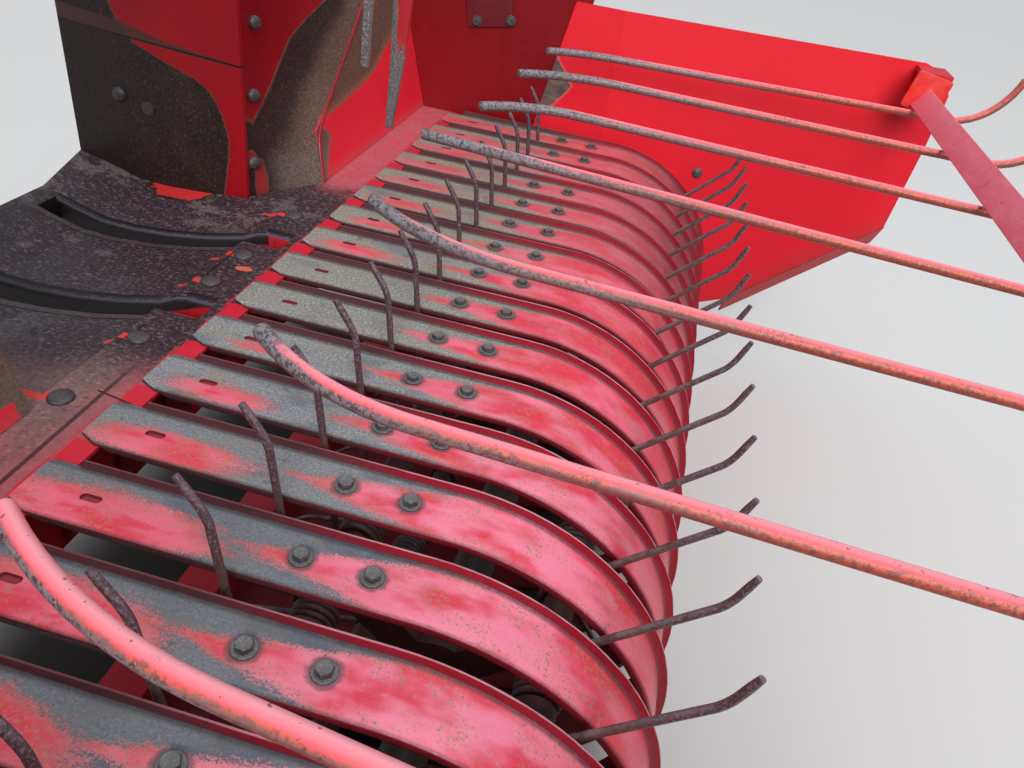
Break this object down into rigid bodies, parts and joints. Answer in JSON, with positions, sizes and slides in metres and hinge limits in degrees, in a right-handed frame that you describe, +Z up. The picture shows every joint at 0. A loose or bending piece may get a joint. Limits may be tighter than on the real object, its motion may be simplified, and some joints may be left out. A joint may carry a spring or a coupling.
{
  "type": "baler pickup unit",
  "caption": "Pickup and feed throat of a small square baler: stripper bands over a spring-tine reel, feed floor, flared side sheets and a rod wind guard.",
  "frame": {"origin": "middle of the rear mounting holes, on the back face of the flanges", "axes": "+X forward over the pickup, +Y to the left along the reel, +Z up"},
  "size_m": [1.2283, 1.7792, 0.8512],
  "materials": {
    "red_paint": "faded red paint",
    "band_paint": "red paint worn to grey",
    "worn_floor": "dark polished steel",
    "dark_steel": "dark rusty steel",
    "tine_wire": "rust brown spring steel",
    "guard_paint": "sun-faded red paint",
    "worn_steel": "worn bright steel"
  },
  "bodies": {
    "frame": {"band_01": "band_paint", "band_02": "band_paint", "band_03": "band_paint", "band_04": "band_paint", "band_05": "band_paint", "band_06": "band_paint", "band_07": "band_paint", "band_08": "band_paint", "band_09": "band_paint", "band_10": "band_paint", "band_11": "band_paint", "band_12": "band_paint", "band_13": "band_paint", "band_14": "band_paint", "band_15": "band_paint", "band_16": "band_paint", "band_17": "band_paint", "band_18": "band_paint", "band_19": "band_paint", "band_arms": "red_paint", "floor_strip": "worn_floor", "rear_beam": "red_paint", "mount_flanges": "red_paint", "bottom_rail": "red_paint", "end_plate_left": "red_paint", "end_plate_right": "red_paint", "side_sheet_left": "red_paint", "side_sheet_right": "red_paint", "back_wall_left": "red_paint", "back_wall_right": "red_paint", "funnel_left": "red_paint", "funnel_right": "red_paint", "throat_plate_left": "red_paint", "throat_plate_right": "red_paint", "feed_pan": "worn_floor", "guard_pivot_left": "red_paint", "guard_pivot_right": "red_paint", "side_wall_left": "red_paint", "side_wall_right": "red_paint", "wall_bracket": "red_paint"},
    "reel": {"reel_shaft": "dark_steel", "reel_sprocket": "dark_steel", "spider_1": "dark_steel", "spider_2": "dark_steel", "spider_3": "dark_steel", "spider_4": "dark_steel"},
    "tine_bar_1": {"tine_bar_1": "dark_steel", "tines_1": "tine_wire"},
    "tine_bar_2": {"tine_bar_2": "dark_steel", "tines_2": "tine_wire"},
    "tine_bar_3": {"tine_bar_3": "dark_steel", "tines_3": "tine_wire"},
    "tine_bar_4": {"tine_bar_4": "dark_steel", "tines_4": "tine_wire"},
    "wind_guard": {"guard_bar": "guard_paint", "guard_rods": "guard_paint"},
    "feeder": {"feeder_shaft": "dark_steel", "feeder_finger_1": "worn_steel", "feeder_finger_2": "worn_steel"}
  },
  "joints": [
    {"name": "reel_spin", "type": "hinge", "parent": "frame", "child": "reel", "pos_m": [0.411, 0, -0.085], "axis": [0, -1, 0], "continuous": true},
    {"name": "tine_bar_1_swing", "type": "hinge", "parent": "reel", "child": "tine_bar_1", "pos_m": [0.5008, 0, 0.0048], "axis": [0, -1, 0], "range_deg": [-41.5, 3.5]},
    {"name": "tine_bar_2_swing", "type": "hinge", "parent": "reel", "child": "tine_bar_2", "pos_m": [0.3212, 0, 0.0048], "axis": [0, -1, 0], "range_deg": [-4, 41]},
    {"name": "tine_bar_3_swing", "type": "hinge", "parent": "reel", "child": "tine_bar_3", "pos_m": [0.3212, 0, -0.1748], "axis": [0, -1, 0], "range_deg": [-11, 34]},
    {"name": "tine_bar_4_swing", "type": "hinge", "parent": "reel", "child": "tine_bar_4", "pos_m": [0.5008, 0, -0.1748], "axis": [0, -1, 0], "range_deg": [-33, 12]},
    {"name": "guard_lift", "type": "hinge", "parent": "frame", "child": "wind_guard", "pos_m": [0.878, 0, 0.273], "axis": [0, 1, 0], "range_deg": [0, 35]},
    {"name": "feeder_swing", "type": "hinge", "parent": "frame", "child": "feeder", "pos_m": [-0.099, 0, 0.417], "axis": [0, 1, 0], "range_deg": [0, 75]}
  ]
}
